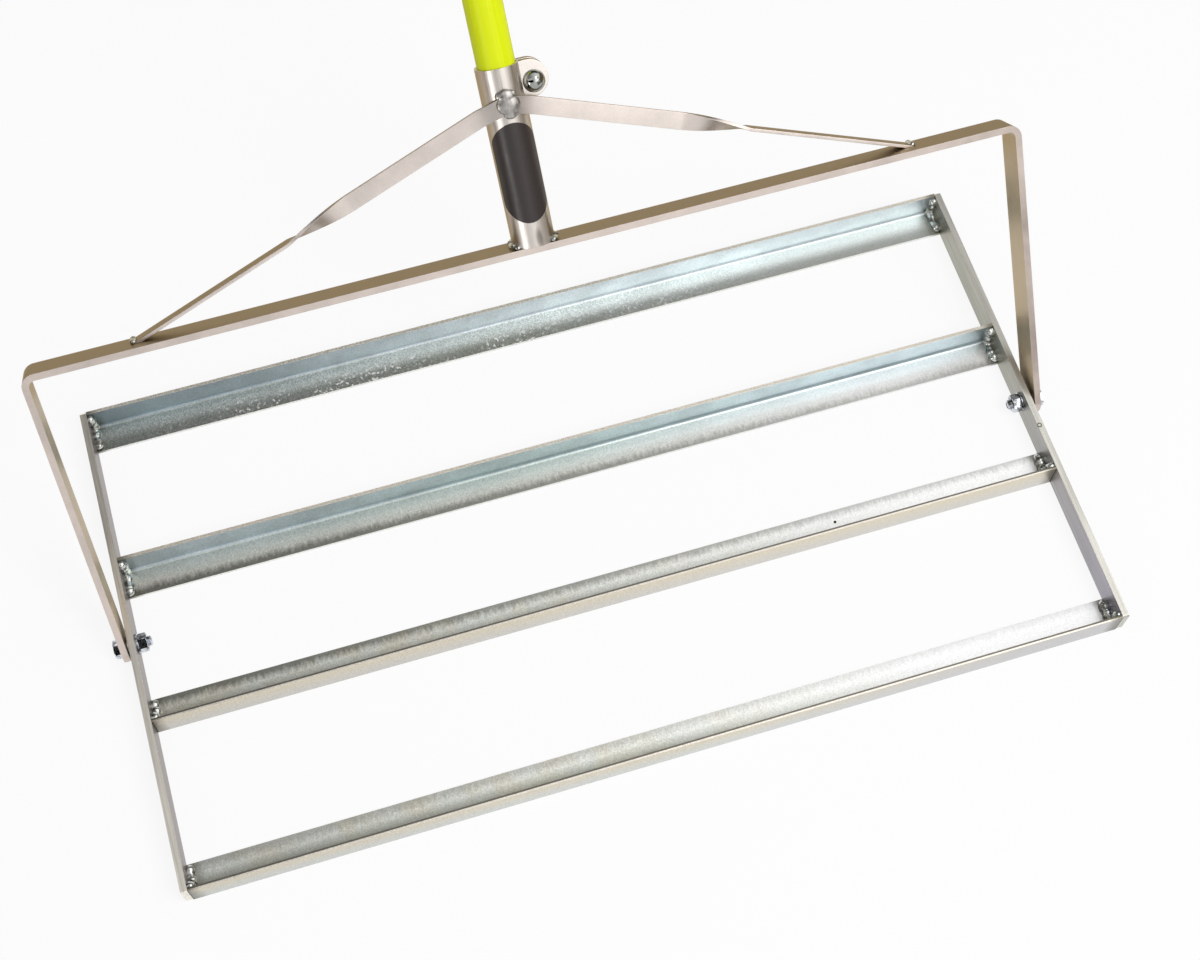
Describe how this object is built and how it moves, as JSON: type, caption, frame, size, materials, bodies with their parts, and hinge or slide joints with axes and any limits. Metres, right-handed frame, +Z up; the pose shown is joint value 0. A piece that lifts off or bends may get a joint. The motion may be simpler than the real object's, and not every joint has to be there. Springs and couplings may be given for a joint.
{
  "type": "lawn leveling rake",
  "caption": "Lawn leveling rake: a flat steel head of angle bars between side plates, on a swinging U-shaped yoke with a braced socket and a long clamped handle.",
  "frame": {"origin": "on the ground under the middle of the head", "axes": "+X along the blades to the clamp bolt's side, +Y to the side where the handle leans, +Z up"},
  "size_m": [0.9462, 1.665, 1.6159],
  "materials": {
    "zinc_plate": "bright zinc plate with a fine spangle",
    "weld_metal": "rippled weld metal, plated",
    "bright_zinc": "bright zinc plated fasteners",
    "satin_steel": "warm satin plated steel",
    "polished_steel": "polished domed head",
    "black_label": "bare satin sticker",
    "yellow_fibreglass": "satin gloss lime yellow",
    "bare_wood": "bare",
    "black_rubber": "matte"
  },
  "bodies": {
    "head": {"left_side_plate": "zinc_plate", "right_side_plate": "zinc_plate", "rear_blade": "zinc_plate", "rear_mid_blade": "zinc_plate", "front_mid_blade": "zinc_plate", "front_blade": "zinc_plate", "left_blade_welds": "weld_metal", "right_blade_welds": "weld_metal", "left_pivot_bolt": "bright_zinc", "right_pivot_bolt": "bright_zinc", "left_arm_washer": "bright_zinc", "right_arm_washer": "bright_zinc", "left_nut_washer": "bright_zinc", "right_nut_washer": "bright_zinc", "left_pivot_nut": "bright_zinc", "right_pivot_nut": "bright_zinc"},
    "yoke": {"yoke_bar": "satin_steel", "socket_tube": "satin_steel", "socket_weld": "weld_metal", "left_brace": "satin_steel", "right_brace": "satin_steel", "brace_centre_weld": "weld_metal", "brace_foot_welds": "weld_metal", "front_clamp_lug": "satin_steel", "rear_clamp_lug": "satin_steel", "clamp_bolt": "polished_steel", "clamp_washer": "bright_zinc", "clamp_nut": "bright_zinc", "label": "black_label"},
    "handle": {"handle_tube": "yellow_fibreglass", "handle_core": "bare_wood", "handle_end_plug": "black_rubber"}
  },
  "joints": [
    {"name": "yoke_pivot", "type": "hinge", "parent": "head", "child": "yoke", "pos_m": [0, 0, 0.01588], "axis": [1, 0, 0], "range_deg": [-47.5, 129.4]},
    {"name": "handle_slide", "type": "slide", "parent": "yoke", "child": "handle", "axis": [0, 0.662, 0.7495], "range_m": [0, 0.125]}
  ]
}
